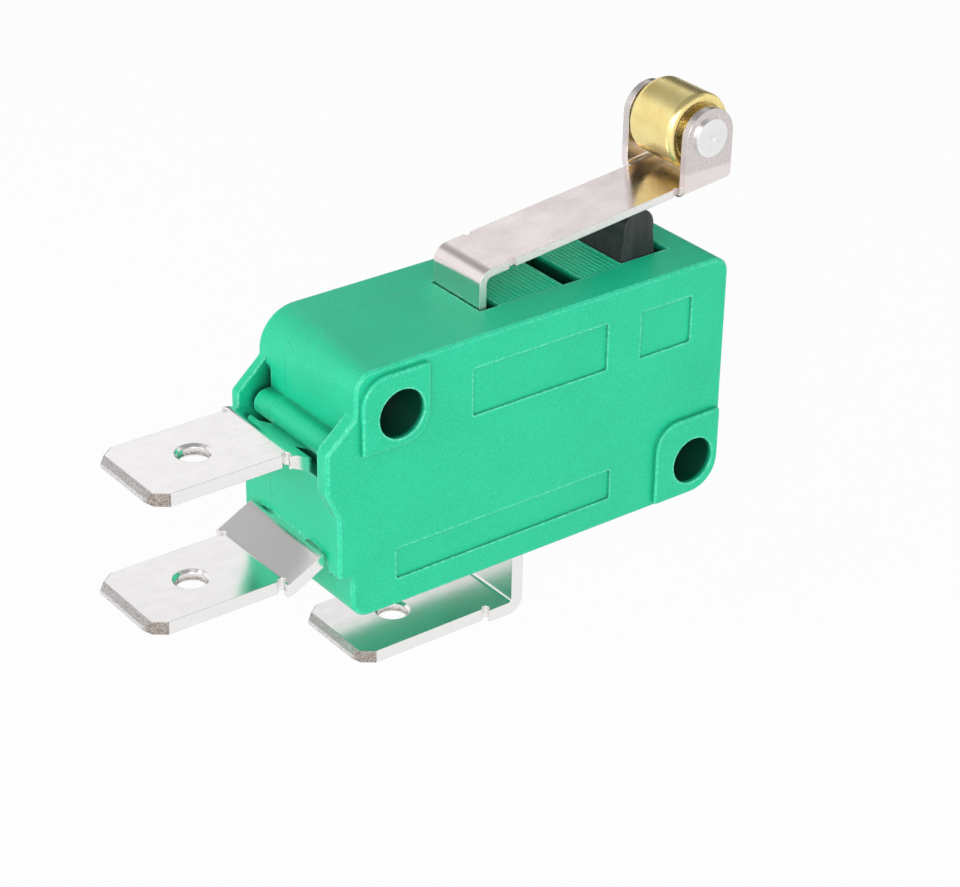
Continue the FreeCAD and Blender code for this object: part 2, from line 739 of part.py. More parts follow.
def crowned_head(radius, height, crown):
    """Rivet head standing on z = 0 with a shallow spherical crown."""
    ball = (radius ** 2 + crown ** 2) / (2 * crown)
    return rod_z(0, 0, radius, 0, height).common(Part.makeSphere(ball, vec(0, 0, height - ball)))


def fixed_contact(level, side):
    """Rivet contact of an end terminal; side -1 hangs its head below the strip, 1 stands it on top."""
    z = FLOOR + level
    head = crowned_head(CONTACT_HEAD_R, CONTACT_HEAD, CONTACT_CROWN)
    if side < 0:
        head.rotate(vec(0, 0, 0), vec(1, 0, 0), 180)
    head.translate(vec(CONTACT_X, 0, z + side * STRIP / 2))
    shank = rod_z(CONTACT_X, 0, CONTACT_SHANK_R, z - STRIP / 2, z + STRIP / 2)
    return joined([head, shank])


# Snap mechanism

def turned_about(shape, x, z, degrees):
    """Turns a shape that was drawn level about its knife edge; positive drops the right side."""
    turned = shape.copy()
    turned.rotate(vec(x, 0, z), vec(0, 1, 0), degrees)
    return turned


def knife_plate(x_knife, z, side, length, thick, fork_length):
    """Level plate from its knife edge to side * length, forked at the knife."""
    half = thick / 2
    point = half / math.tan(math.radians(KNIFE_HALF_DEG))
    corners = [
        (x_knife, z + KNIFE_BLUNT, 0),
        (x_knife + side * point, z + half, 0),
        (x_knife + side * length, z + half, 0),
        (x_knife + side * length, z - half, 0),
        (x_knife + side * point, z - half, 0),
        (x_knife, z - KNIFE_BLUNT, 0),
    ]
    plate = prism_y(corners, -ARM_WIDE / 2, ARM_WIDE / 2)
    gap = ARM_FORK_GAP / 2
    x0 = min(x_knife - side, x_knife + side * fork_length)
    x1 = max(x_knife - side, x_knife + side * fork_length)
    return plate.cut(block(x0, x1, -gap, gap, z - 1, z + 1))


def hook_lug(x, z, thick, plate_thick, rise):
    """Lug bent from the plate's fork root, up or down, with the hole that the spring hooks into."""
    wide = HOOK_LUG_WIDE / 2
    way = math.copysign(1, rise)
    root = z - way * plate_thick / 2
    tip = z + rise + way * HOOK_LUG_TAIL
    lug = block(x - thick / 2, x + thick / 2, -wide, wide, min(root, tip), max(root, tip))
    hole = Part.makeCylinder(HOOK_HOLE_R, thick + 1, vec(x - thick / 2 - 0.5, 0, z + rise), vec(1, 0, 0))
    return lug.cut(hole)


def contact_arm():
    """Copper contact arm, pressed by the spring into the left notch of the post."""
    hook_x = ARM_KNIFE_X - ARM_HOOK_FROM_KNIFE
    z = ARM_KNIFE_Z
    fork = ARM_HOOK_FROM_KNIFE - ARM_THICK / 2
    plate = knife_plate(ARM_KNIFE_X, z, -1, ARM_LENGTH, ARM_THICK, fork)
    arm = joined([plate, hook_lug(hook_x, z, ARM_THICK, ARM_THICK, ARM_HOOK_RISE)])
    end_x = ARM_KNIFE_X - ARM_LENGTH
    wide = ARM_WIDE / 2
    corners = [
        (end_x, wide, ARM_END_R),
        (ARM_KNIFE_X + 1, wide, 0),
        (ARM_KNIFE_X + 1, -wide, 0),
        (end_x, -wide, ARM_END_R),
    ]
    arm = arm.common(prism_z(corners, z - 3, z + 3))
    arm = arm.cut(rod_z(arm_contact_x(), 0, CONTACT_SHANK_R, z - 1, z + 1))
    return turned_about(arm, ARM_KNIFE_X, z, ARM_TILT)


def arm_contact_x():
    """Place of the moving contact on the level arm, so that it meets the fixed contacts when tilted."""
    return ARM_KNIFE_X - (ARM_KNIFE_X - CONTACT_X) / math.cos(math.radians(ARM_TILT))


def moving_contact():
    """Double rivet that closes on the upper contact at rest and on the lower one when pressed."""
    x = arm_contact_x()
    z = ARM_KNIFE_Z
    swing = (ARM_KNIFE_X - CONTACT_X) * math.tan(math.radians(ARM_TILT))
    tilt = math.cos(math.radians(ARM_TILT))
    half = ARM_THICK / 2
    stack = STRIP / 2 + CONTACT_HEAD
    up = (FLOOR + NC_LEVEL - stack - z - swing) * tilt - half - CONTACT_AIR
    down = (z - swing - FLOOR - NO_LEVEL - stack) * tilt - half - CONTACT_AIR
    upper = crowned_head(CONTACT_HEAD_R, up, CONTACT_CROWN)
    upper.translate(vec(x, 0, z + half))
    lower = crowned_head(CONTACT_HEAD_R, down, CONTACT_CROWN)
    lower.rotate(vec(0, 0, 0), vec(1, 0, 0), 180)
    lower.translate(vec(x, 0, z - half))
    shank = rod_z(x, 0, CONTACT_SHANK_R, z - half, z + half)
    return turned_about(joined([upper, lower, shank]), ARM_KNIFE_X, z, ARM_TILT)


def trip_lever():
    """Steel trip lever under the plunger, pressed by the spring into the right notch of the post."""
    hook_x = TRIP_KNIFE_X + TRIP_HOOK_FROM_KNIFE
    lug_thick = TRIP_THICK * 0.8
    fork = TRIP_HOOK_FROM_KNIFE - lug_thick / 2
    z = TRIP_KNIFE_Z
    plate = knife_plate(TRIP_KNIFE_X, z, 1, TRIP_LENGTH, TRIP_THICK, fork)
    lever = joined([plate, hook_lug(hook_x, z, lug_thick, TRIP_THICK, TRIP_HOOK_RISE)])
    return turned_about(lever, TRIP_KNIFE_X, z, -TRIP_TILT)


def turned_point(x_knife, z_knife, dx, dz, degrees):
    """Place in space of a point (dx, dz) from the knife edge after the part is turned about it."""
    a = math.radians(degrees)
    x = x_knife + dx * math.cos(a) + dz * math.sin(a)
    z = z_knife - dx * math.sin(a) + dz * math.cos(a)
    return x, z


def hook_points():
    """The spring's two hook points at rest: on the contact arm and on the trip lever."""
    on_arm = turned_point(ARM_KNIFE_X, ARM_KNIFE_Z, -ARM_HOOK_FROM_KNIFE, ARM_HOOK_RISE, ARM_TILT)
    on_trip = turned_point(TRIP_KNIFE_X, TRIP_KNIFE_Z, TRIP_HOOK_FROM_KNIFE, TRIP_HOOK_RISE, -TRIP_TILT)
    return on_arm, on_trip


def wire_tube(points):
    """Round wire along straight runs with rounded corners, in the plane y = 0."""
    edges = []
    here = vec(points[0][0], 0, points[0][1])
    bend = SPRING_WIRE * 0.9
    for i in range(1, len(points) - 1):
        corner = vec(points[i][0], 0, points[i][1])
        after = vec(points[i + 1][0], 0, points[i + 1][1])
        into = (corner - here).normalize()
        out = (after - corner).normalize()
        half = (math.pi - into.getAngle(out)) / 2
        reach = bend / math.tan(half)
        start = corner - into * reach
        finish = corner + out * reach
        inward = (out - into).normalize()
        middle = corner + inward * (bend / math.sin(half) - bend)
        edges.append(Part.LineSegment(here, start).toShape())
        edges.append(Part.Arc(start, middle, finish).toShape())
        here = finish
    edges.append(Part.LineSegment(here, vec(points[-1][0], 0, points[-1][1])).toShape())
    path = Part.Wire(edges)
    first = (vec(points[1][0], 0, points[1][1]) - vec(points[0][0], 0, points[0][1])).normalize()
    ring = Part.Wire(Part.makeCircle(SPRING_WIRE / 2, vec(points[0][0], 0, points[0][1]), first))
    return path.makePipeShell([ring], True, True)


def hook_line(x, way, tail):
    """Corner points of one end hook, from the coil through the hook point at x to its bent tail."""
    coil = x + way * SPRING_END_LENGTH
    radius = SPRING_COIL_R
    straight = x - way * SPRING_TAIL
    return [
        (coil, -radius),
        (coil - way * 0.3 * SPRING_END_LENGTH, -radius),
        (coil - way * 0.6 * SPRING_END_LENGTH, 0),
        (straight, 0),
        (straight, tail),
    ]


def snap_spring():
    """Coil tension spring between the two hook holes, drawn along X from the arm's hook and then laid in place."""
    (x0, z0), (x1, z1) = hook_points()
    length = math.hypot(x1 - x0, z1 - z0)
    coil = length - 2 * SPRING_END_LENGTH
    pitch = coil / SPRING_TURNS
    helix = Part.makeHelix(pitch, coil, SPRING_COIL_R)
    start = vec(SPRING_COIL_R, 0, 0)
    rise = pitch / (2 * math.pi * SPRING_COIL_R)
    ring = Part.Wire(Part.makeCircle(SPRING_WIRE / 2, start, vec(0, 1, rise)))
    tube = Part.Wire(helix.Edges).makePipeShell([ring], True, True)
    tube.rotate(vec(0, 0, 0), vec(0, 1, 0), 90)
    tube.translate(vec(SPRING_END_LENGTH, 0, 0))
    left = wire_tube(hook_line(0, 1, -SPRING_TAIL * 1.3))
    right = wire_tube(hook_line(length, -1, SPRING_TAIL * 1.3))
    spring = joined([tube, left, right])
    slope = math.degrees(math.atan2(z1 - z0, x1 - x0))
    spring.rotate(vec(0, 0, 0), vec(0, 1, 0), -slope)
    spring.translate(vec(x0, 0, z0))
    return spring


# Lever, roller and plunger

def lever_line(x):
    """Height of the lever arm's middle line above x."""
    start = TOP + LEVER_OVER_TOP - LEVER_THICK / 2 / math.cos(LEVER_RISE)
    return start + (x - LEVER_X) * math.tan(LEVER_RISE)


def ear_outline():
    """Side view of the folded end: from under the arm up over the pin."""
    drop = LEVER_THICK
    return [
        (EAR_LEFT, lever_line(EAR_LEFT) - drop, 0),
        (EAR_LEFT, PIN_Z + EAR_R, EAR_R * 0.999),
        (EAR_RIGHT, PIN_Z + EAR_R, EAR_R * 0.999),
        (EAR_RIGHT, lever_line(EAR_RIGHT) - drop, EAR_CORNER_R),
    ]


def lever_channel():
    """Folded end as a channel along the arm, with the outline of the ears cut from its sides."""
    half = EAR_OUTSIDE / 2
    thick = LEVER_THICK
    tall = PIN_Z + ROLLER_R + 2 - lever_line(EAR_LEFT)
    low = -thick / 2
    outer_r = EAR_BEND_R + thick
    corners = [
        (-half, tall, 0),
        (-half, low, outer_r),
        (half, low, outer_r),
        (half, tall, 0),
        (half - thick, tall, 0),
        (half - thick, low + thick, EAR_BEND_R),
        (thick - half, low + thick, EAR_BEND_R),
        (thick - half, tall, 0),
    ]
    x0 = EAR_LEFT - 2
    channel = prism_x(corners, x0, EAR_RIGHT + 3)
    channel.translate(vec(0, 0, lever_line(x0)))
    channel.rotate(vec(x0, 0, lever_line(x0)), vec(0, 1, 0), -LEVER_RISE_DEG)
    return channel.common(prism_y(ear_outline(), -half, half))


def lever_arm():
    """Folded lever: foot and leg in the socket, arm over the plunger, two ears for the roller."""
    foot_z = TOP - LEVER_FOOT_DOWN
    end_x = EAR_LEFT + 0.2
    points = [(LEVER_X, foot_z), (LEVER_X, lever_line(LEVER_X)), (end_x, lever_line(end_x))]
    half = LEVER_WIDE / 2
    arm = prism_y(strip_corners(points, LEVER_THICK, LEVER_BEND_R), -half, half)
    foot_half = half + LEVER_FOOT_OVER
    thick = LEVER_THICK / 2
    foot = block(LEVER_X - thick, LEVER_X + thick, -foot_half, foot_half, foot_z, foot_z + LEVER_FOOT_HIGH)
    lever = joined([arm, foot, lever_channel()])
    cuts = []
    notch_x = END + LEVER_NOTCH_FROM_END
    relief_x = EAR_LEFT
    top = TOP + LEVER_OVER_TOP
    for side in (-1, 1):
        deep = half - LEVER_NOTCH_DEEP
        y0, y1 = sorted((side * deep, side * FAR))
        cuts.append(block(notch_x, notch_x + LEVER_NOTCH_LONG, y0, y1, top - 1, top + 1))
        deep = half - EAR_RELIEF_DEEP
        y0, y1 = sorted((side * deep, side * FAR))
        low = lever_line(relief_x) - LEVER_THICK
        cuts.append(block(relief_x - EAR_RELIEF, relief_x, y0, y1, low, low + 2 * LEVER_THICK))
    cuts.append(rod_y(PIN_X, PIN_Z, PIN_R + PIN_FIT, -FAR, FAR))
    return lever.cut(cuts)


def roller_pin():
    """Pin through both ears, its two ends spread into shallow heads with a centre dimple."""
    half = EAR_OUTSIDE / 2
    shank = rod_y(PIN_X, PIN_Z, PIN_R, -half, half)
    heads = []
    for side in (-1, 1):
        head = crowned_head(PIN_HEAD_R, PIN_HEAD, PIN_HEAD_CROWN)
        dimple = Part.makeCone(0, PIN_DIMPLE_R, PIN_DIMPLE, vec(0, 0, PIN_HEAD - PIN_DIMPLE), vec(0, 0, 1))
        head = head.cut(dimple)
        head.rotate(vec(0, 0, 0), vec(1, 0, 0), -90 * side)
        head.translate(vec(PIN_X, side * half, PIN_Z))
        heads.append(head)
    return joined([shank] + heads)


def roller():
    """Turned brass roller with rounded rims and slightly sunk faces."""
    half = ROLLER_LONG / 2
    front = LEVER_THICK + ROLLER_FRONT_PLAY - EAR_OUTSIDE / 2
    bore = PIN_R + ROLLER_BORE_PLAY
    spot = half - ROLLER_SPOT
    corners = [
        (bore, -spot, 0),
        (ROLLER_SPOT_R, -spot, 0),
        (ROLLER_SPOT_R + ROLLER_SPOT, -half, 0),
        (ROLLER_R, -half, ROLLER_CHAMFER),
        (ROLLER_R, half, ROLLER_CHAMFER),
        (ROLLER_SPOT_R + ROLLER_SPOT, half, 0),
        (ROLLER_SPOT_R, spot, 0),
        (bore, spot, 0),
    ]
    wire = rounded_wire(corners, lambda u, v: vec(u, v, 0))
    body = Part.Face(wire).revolve(vec(0, 0, 0), vec(0, 1, 0), 360)
    body.translate(vec(PIN_X, front + half, PIN_Z))
    return body


def plunger():
    """Moulded plunger: rounded tongue under the lever, shoulder under the top wall, nose on the trip lever."""
    half = PLUNGER_WIDE / 2
    top = lever_line(PLUNGER_X) - LEVER_THICK / 2 / math.cos(LEVER_RISE) - PLUNGER_AIR
    shoulder_top = CEILING - PLUNGER_AIR
    neck = half - PLUNGER_TAPER
    tongue_corners = [
        (PLUNGER_X - half, shoulder_top, 0),
        (PLUNGER_X - half, TOP, 0),
        (PLUNGER_X - neck, TOP + PLUNGER_TAPER_UP, 0),
        (PLUNGER_X - neck, top, PLUNGER_TOP_R),
        (PLUNGER_X + neck, top, PLUNGER_TOP_R),
        (PLUNGER_X + neck, TOP + PLUNGER_TAPER_UP, 0),
        (PLUNGER_X + half, TOP, 0),
        (PLUNGER_X + half, shoulder_top, 0),
    ]
    deep = PLUNGER_DEEP / 2
    tongue = prism_y(tongue_corners, -deep, deep)
    tongue = tongue.makeFillet(PLUNGER_EDGE_R, edges_at_y(tongue, -deep) + edges_at_y(tongue, deep))
    over = half + PLUNGER_SHOULDER_OVER
    right_over = half + OPENING_SPARE + PLUNGER_SHOULDER_OVER * 0.4
    shoulder_corners = [
        (PLUNGER_X - over, shoulder_top, 0.15),
        (PLUNGER_X + right_over, shoulder_top, 0.15),
        (PLUNGER_X + right_over, shoulder_top - PLUNGER_SHOULDER, 0.3),
        (PLUNGER_X - over, shoulder_top - PLUNGER_SHOULDER, 0.3),
    ]
    side = INNER_REAR - GUIDE_PLAY - 0.4
    shoulder = prism_y(shoulder_corners, -side, side)
    stem = PLUNGER_STEM_WIDE / 2
    trip_x = PLUNGER_X + stem - PLUNGER_TIP_R - TRIP_KNIFE_X
    tilt = math.radians(TRIP_TILT)
    trip_top = TRIP_KNIFE_Z + trip_x * math.tan(tilt) + TRIP_THICK / 2 / math.cos(tilt)
    nose = trip_top + PLUNGER_TIP_R * (1 / math.cos(tilt) - 1) + PLUNGER_AIR
    stem_corners = [
        (PLUNGER_X - stem, shoulder_top - 0.5, 0),
        (PLUNGER_X + stem, shoulder_top - 0.5, 0),
        (PLUNGER_X + stem, nose, PLUNGER_TIP_R),
        (PLUNGER_X - stem, nose, PLUNGER_TIP_R),
    ]
    stem_body = prism_y(stem_corners, -deep * 0.7, deep * 0.7)
    return joined([tongue, shoulder, stem_body])


def main():
    os.makedirs("parts", exist_ok=True)
    body, cover = case_halves()
    pieces = {
        "case_body": body,
        "case_cover": cover,
        "com_terminal": com_terminal(),
        "nc_terminal": end_terminal(nc_strip(NC_ROOT_WIDE), NC_TIP, NC_TAB_UP, NC_NOTCH, NC_ROOT_END, NC_LEVEL),
        "no_terminal": end_terminal(no_strip(NO_ROOT_WIDE), NO_TIP, NO_TAB_UP, NO_NOTCH, NO_ROOT_END, NO_LEVEL),
        "nc_contact": fixed_contact(NC_LEVEL, -1),
        "no_contact": fixed_contact(NO_LEVEL, 1),
        "contact_arm": contact_arm(),
        "moving_contact": moving_contact(),
        "snap_spring": snap_spring(),
        "trip_lever": trip_lever(),
        "plunger": plunger(),
        "lever_arm": lever_arm(),
        "roller_pin": roller_pin(),
        "roller": roller(),
    }
    for name, shape in pieces.items():
        shape.exportStep(os.path.join("parts", name + ".step"))
        print(name, len(shape.Solids), shape.isValid(), round(shape.Volume, 3))


main()
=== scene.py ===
import json
import logging
from dataclasses import dataclass
from enum import Enum
from typing import Optional, Protocol, Union

import bpy
import numpy as np
from mathutils import Matrix, Vector


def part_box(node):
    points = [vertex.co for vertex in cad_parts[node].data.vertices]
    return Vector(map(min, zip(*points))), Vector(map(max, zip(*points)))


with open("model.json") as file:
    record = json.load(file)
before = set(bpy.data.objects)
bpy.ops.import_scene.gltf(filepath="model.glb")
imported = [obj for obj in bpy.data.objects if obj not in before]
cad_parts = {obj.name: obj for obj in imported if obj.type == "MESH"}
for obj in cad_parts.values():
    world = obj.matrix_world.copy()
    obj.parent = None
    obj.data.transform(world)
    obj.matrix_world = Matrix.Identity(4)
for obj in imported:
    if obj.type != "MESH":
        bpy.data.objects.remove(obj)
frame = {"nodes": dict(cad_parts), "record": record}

log = logging.getLogger("switch")
logging.basicConfig(level=logging.INFO, format="%(message)s")

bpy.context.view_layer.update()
MM = 0.001
WHITE = (1.0, 1.0, 1.0)
Number = Union[float, "Shade"]
Colour = tuple[float, float, float]
Place = tuple[float, float, float]
Band = tuple[float, float]
Settings = dict[str, object]
Inputs = dict[Union[str, int], object]

# Most values of a noise pattern lie in this band
MIDDLE: Band = (0.3, 0.7)
# Rays that the openness and the rounded edges are judged from, at each point
OPENNESS_SAMPLES = 8
ROUNDING_SAMPLES = 6


class Axis(Enum):
    """Row axis that a pattern runs along."""

    X = 0
    Y = 1
    Z = 2


@dataclass(frozen=True)
class Grain:
    """A noise pattern: feature size, octaves of finer noise, their strength, and stretch along each axis."""

    size_mm: float
    detail: float = 2.0
    rough: float = 0.5
    stretch: tuple[float, float, float] = (1.0, 1.0, 1.0)


@dataclass(frozen=True)
class Bore:
    """A round hole along Y."""

    x_mm: float
    z_mm: float
    radius_mm: float


@dataclass(frozen=True)
class Wells:
    """The block under the top of the case that all its openings lie in."""

    start_mm: float
    end_mm: float
    half_mm: float
    top_mm: float
    floor_mm: float


@dataclass(frozen=True)
class Lamp:
    """A soft rectangular lamp: middle, width and height, power, and the point it faces."""

    name: str
    place_mm: Place
    size_mm: tuple[float, float]
    watts: float
    aim_mm: Place = (8.0, 0.0, -3.0)


def span(node: str) -> tuple[np.ndarray, np.ndarray]:
    """Corners of a CAD node.

    Args:
        node: name of the node.

    Returns:
        Its lowest and highest corner in millimetres.
    """
    low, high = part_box(node)
    return np.array(low) / MM, np.array(high) / MM


class Shade:
    """A shader socket that can be used in plain arithmetic."""

    def __init__(self, graph: "Graph", socket: bpy.types.NodeSocket) -> None:
        """Wraps a socket.

        Args:
            graph: graph that gets the nodes of expressions on this shade.
            socket: output socket that carries the value.
        """
        self.graph = graph
        self.socket = socket

    def _math(self, operation: str, *others: Number) -> "Shade":
        """Math node with this value as its first input."""
        return self.graph.math(operation, self, *others)

    def __add__(self, other: Number) -> "Shade":
        """This value plus another."""
        return self._math("ADD", other)

    def __sub__(self, other: Number) -> "Shade":
        """This value less another."""
        return self._math("SUBTRACT", other)

    def __mul__(self, other: Number) -> "Shade":
        """This value times another."""
        return self._math("MULTIPLY", other)

    def __radd__(self, other: Number) -> "Shade":
        """A plain number plus this value."""
        return self + other

    def __rmul__(self, other: Number) -> "Shade":
        """A plain number times this value."""
        return self * other

    def __rsub__(self, other: Number) -> "Shade":
        """A plain number less this value."""
        return self.graph.math("SUBTRACT", other, self)

    def __abs__(self) -> "Shade":
        """The value without its sign."""
        return self._math("ABSOLUTE")

    def sine(self) -> "Shade":
        """Sine of the value in radians."""
        return self._math("SINE")

    def root(self) -> "Shade":
        """Square root of the value."""
        return self._math("SQRT")

    def larger(self, other: Number) -> "Shade":
        """The larger of two values."""
        return self._math("MAXIMUM", other)

    def ramp(self, low: float, high: float, first: float = 0.0, last: float = 1.0) -> "Shade":
        """Smooth step from first to last while the value goes from low to high.

        Args:
            low: value where the step begins.
            high: value where the step ends.
            first: result at and below low.
            last: result at and above high.

        Returns:
            The stepped value.
        """
        return self.graph.node(
            "ShaderNodeMapRange",
            {"interpolation_type": "SMOOTHSTEP"},
            {"Value": self, "From Min": low, "From Max": high, "To Min": first, "To Max": last},
            "Result",
        )

    def fade(self, low: float, high: float) -> "Shade":
        """Smooth step down from 1 to 0 while the value goes from low to high."""
        return self.ramp(low, high, 1.0, 0.0)


class Graph:
    """Node tree of one material, or of the world."""

    def __init__(self, name: str, tree: Optional[bpy.types.NodeTree] = None) -> None:
        """Makes a new material, or works on a tree that exists.

        Args:
            name: name of the new material.
            tree: node tree to work on in place of a new material's.
        """
        self.material: Optional[bpy.types.Material] = None
        self.shader: Optional[bpy.types.Node] = None
        if tree is None:
            self.material = bpy.data.materials.new(name)
            self.material.use_nodes = True
            tree = self.material.node_tree
            self.shader = tree.nodes["Principled BSDF"]
        self.tree = tree
        self._place: Optional[Shade] = None
        self._axes: dict[Axis, Shade] = {}
        self._noises: dict[Grain, Shade] = {}

    def node(self, kind: str, settings: Settings, sockets: Inputs, out: Union[str, int] = 0) -> Shade:
        """Adds a node.

        Args:
            kind: Blender's type name of the node.
            settings: properties set on the node first.
            sockets: inputs by name or number, as values or shades.
            out: name or number of the output to hand back.

        Returns:
            The chosen output.
        """
        made = self.tree.nodes.new(kind)
        for key, value in settings.items():
            setattr(made, key, value)
        for key, value in sockets.items():
            if isinstance(value, Shade):
                self.tree.links.new(value.socket, made.inputs[key])
            else:
                made.inputs[key].default_value = value
        return Shade(self, made.outputs[out])

    def math(self, operation: str, *values: Number) -> Shade:
        """Adds a Math node.

        Args:
            operation: Blender's name of the operation.
            values: its inputs in order.

        Returns:
            The result.
        """
        return self.node("ShaderNodeMath", {"operation": operation}, dict(enumerate(values)))

    @property
    def place(self) -> Shade:
        """Position on the object.

        Returns:
            The vector in metres.
        """
        if self._place is None:
            self._place = self.node("ShaderNodeTexCoord", {}, {}, "Object")
        return self._place

    def along(self, axis: Axis) -> Shade:
        """One coordinate of the position.

        Args:
            axis: axis of the coordinate.

        Returns:
            The coordinate in millimetres.
        """
        if axis not in self._axes:
            parts = self.node("ShaderNodeSeparateXYZ", {}, {"Vector": self.place}, axis.value)
            self._axes[axis] = parts * (1 / MM)
        return self._axes[axis]

    def noise(self, grain: Grain) -> Shade:
        """Noise on the object's own coordinates.

        Args:
            grain: size and character of the pattern.

        Returns:
            Values around one half; most of them lie within MIDDLE.
        """
        if grain not in self._noises:
            scale = tuple(1 / (grain.size_mm * MM * longer) for longer in grain.stretch)
            mapped = self.node("ShaderNodeMapping", {}, {"Vector": self.place, "Scale": scale})
            sockets = {"Vector": mapped, "Scale": 1.0, "Detail": grain.detail, "Roughness": grain.rough}
            self._noises[grain] = self.node("ShaderNodeTexNoise", {}, sockets, "Fac")
        return self._noises[grain]

    def blend(self, share: Number, first: Union[Colour, Shade], second: Union[Colour, Shade]) -> Shade:
        """Mix of two colours.

        Args:
            share: 0 for the first colour, 1 for the second.
            first: linear red, green and blue, or a shade.
            second: the same for the other end.

        Returns:
            The mixed colour.
        """
        a = first if isinstance(first, Shade) else (*first, 1.0)
        b = second if isinstance(second, Shade) else (*second, 1.0)
        # Inputs 6 and 7 and output 2 are the node's colour ones
        return self.node("ShaderNodeMix", {"data_type": "RGBA"}, {0: share, 6: a, 7: b}, 2)

    def openness(self, reach_mm: float, edges: bool = False) -> Shade:
        """How open the piece is round a point, judged from its own shape alone.

        Args:
            reach_mm: how far the look around goes.
            edges: look into the material instead of out of it, which picks out edges.

        Returns:
            1 on open faces; less in crevices, or on edges when those are asked for.
        """
        settings = {"only_local": True, "inside": edges, "samples": OPENNESS_SAMPLES}
        return self.node("ShaderNodeAmbientOcclusion", settings, {"Distance": reach_mm * MM}, "AO")

    def ring(self, x_mm: float, z_mm: float) -> Shade:
        """Distance from a line along Y: the root of the squares of both offsets, added up.

        Args:
            x_mm: place of the line along X.
            z_mm: place of the line along Z.

        Returns:
            The distance in millimetres.
        """
        dx = self.along(Axis.X) - x_mm
        dz = self.along(Axis.Z) - z_mm
        return (dx * dx + dz * dz).root()

    def bump(self, height: Shade, depth_mm: float, round_mm: float, strength: float = 0.5) -> Shade:
        """Normal bent by a height pattern, over edges that are rounded a little.

        Args:
            height: pattern, where a step of 1 stands for depth_mm.
            depth_mm: depth of the pattern.
            round_mm: radius that sharp edges get.
            strength: share of the pattern that shows.

        Returns:
            The normal.
        """
        settings = {"samples": ROUNDING_SAMPLES}
        edges = self.node("ShaderNodeBevel", settings, {"Radius": round_mm * MM}, "Normal")
        sockets = {"Height": height, "Distance": depth_mm * MM, "Strength": strength, "Normal": edges}
        return self.node("ShaderNodeBump", {}, sockets, "Normal")

    def set(self, **sockets: Union[Number, Colour]) -> None:
        """Sets or links inputs of the surface shader.

        Args:
            sockets: inputs by name, with underscores for spaces, as numbers, colours or shades.
        """
        for key, value in sockets.items():
            target = self.shader.inputs[key.replace("_", " ")]
            if isinstance(value, Shade):
                self.tree.links.new(value.socket, target)
            else:
                target.default_value = (*value, 1.0) if isinstance(value, tuple) else value

    def rays(self) -> dict[str, Shade]:
        """Kinds of ray.

        Returns:
            Each output of the Light Path node by its name.
        """
        first = self.node("ShaderNodeLightPath", {}, {})
        return {out.name: Shade(self, out) for out in first.socket.node.outputs}


class Finish(Protocol):
    """Anything that can make a material."""

    def build(self, name: str) -> bpy.types.Material:
        """Makes the material.

        Args:
            name: name of the material.

        Returns:
            The finished material.
        """


